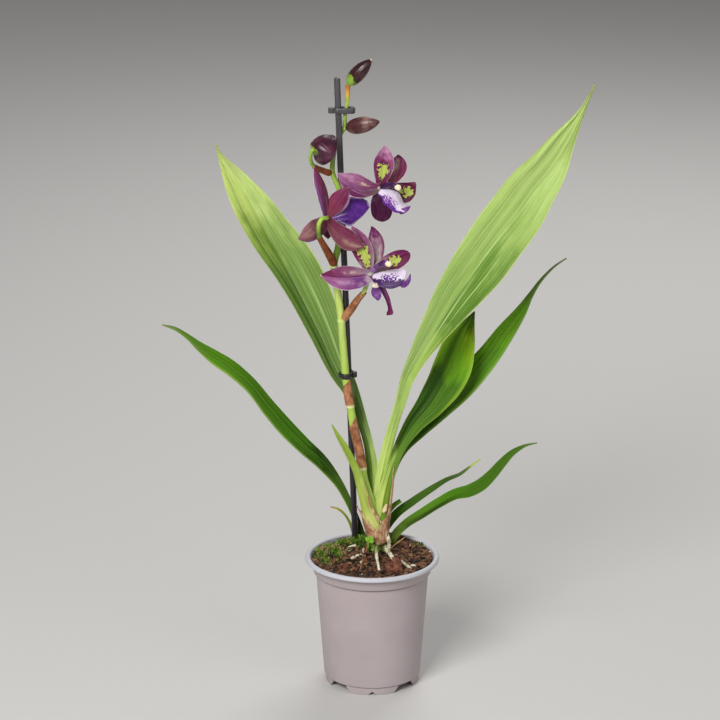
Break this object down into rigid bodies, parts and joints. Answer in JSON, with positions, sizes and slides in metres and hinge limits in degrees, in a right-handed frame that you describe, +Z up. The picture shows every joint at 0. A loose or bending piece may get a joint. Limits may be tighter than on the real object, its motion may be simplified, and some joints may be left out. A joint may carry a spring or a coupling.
{
  "type": "potted orchid",
  "caption": "Flowering orchid with long pleated leaves and a spike of plum and violet blooms, clipped to a stake in a round nursery pot.",
  "frame": {"origin": "middle of the pot's underside, on the surface that it stands on", "axes": "+Z up along the pot; the blooms look towards -Y, and +X is to the right as they are looked at"},
  "size_m": [0.3739, 0.1407, 0.5635],
  "materials": {
    "pot": "mauve-grey moulded plastic with a soft sheen",
    "soil": "damp bark and peat mix",
    "bark": "broken bark",
    "bulb": "dry brown plant skin",
    "root": "pale spongy roots",
    "husk": "papery dry bract",
    "leaf": "satin green leaf",
    "pale_leaf": "satin yellow-green leaf",
    "dark_leaf": "satin dark green leaf",
    "yellow_leaf": "withering leaf",
    "spike": "satin green stem",
    "bract": "papery brown bract",
    "bud": "glossy maroon bud",
    "tepal": "waxy plum petal",
    "lip": "white and violet lip",
    "column": "waxy violet column",
    "black_plastic": "black plastic"
  },
  "bodies": {
    "root": {"pot": "pot", "soil": "soil", "bark_chip_front": "bark", "bark_chip_left": "bark", "pseudobulb": "bulb", "roots": "root", "dry_sheath": "husk", "leaf_big_right": "pale_leaf", "leaf_big_left": "leaf", "leaf_mid_right": "leaf", "leaf_far_right": "leaf", "leaf_short_front": "pale_leaf", "leaf_arching_left": "dark_leaf", "leaf_low_dark": "dark_leaf", "leaf_low_bright": "leaf", "leaf_stub": "pale_leaf", "leaf_withered": "yellow_leaf", "flower_spike": "spike", "bract_stem_low": "bract", "bract_stem_high": "bract", "bract_bloom_low": "bract", "bract_bloom_left": "bract", "bract_bud_left": "bract", "bract_top": "bract", "bud_top": "bud", "bud_right": "bud", "bud_left": "bud", "stake": "black_plastic", "clip_upper": "black_plastic", "clip_lower": "black_plastic", "bloom_upper_tepals": "tepal", "bloom_upper_column": "column", "bloom_upper_lip": "lip", "bloom_left_tepals": "tepal", "bloom_left_column": "column", "bloom_left_lip": "lip", "bloom_lower_tepals": "tepal", "bloom_lower_column": "column", "bloom_lower_lip": "lip"}
  },
  "joints": []
}
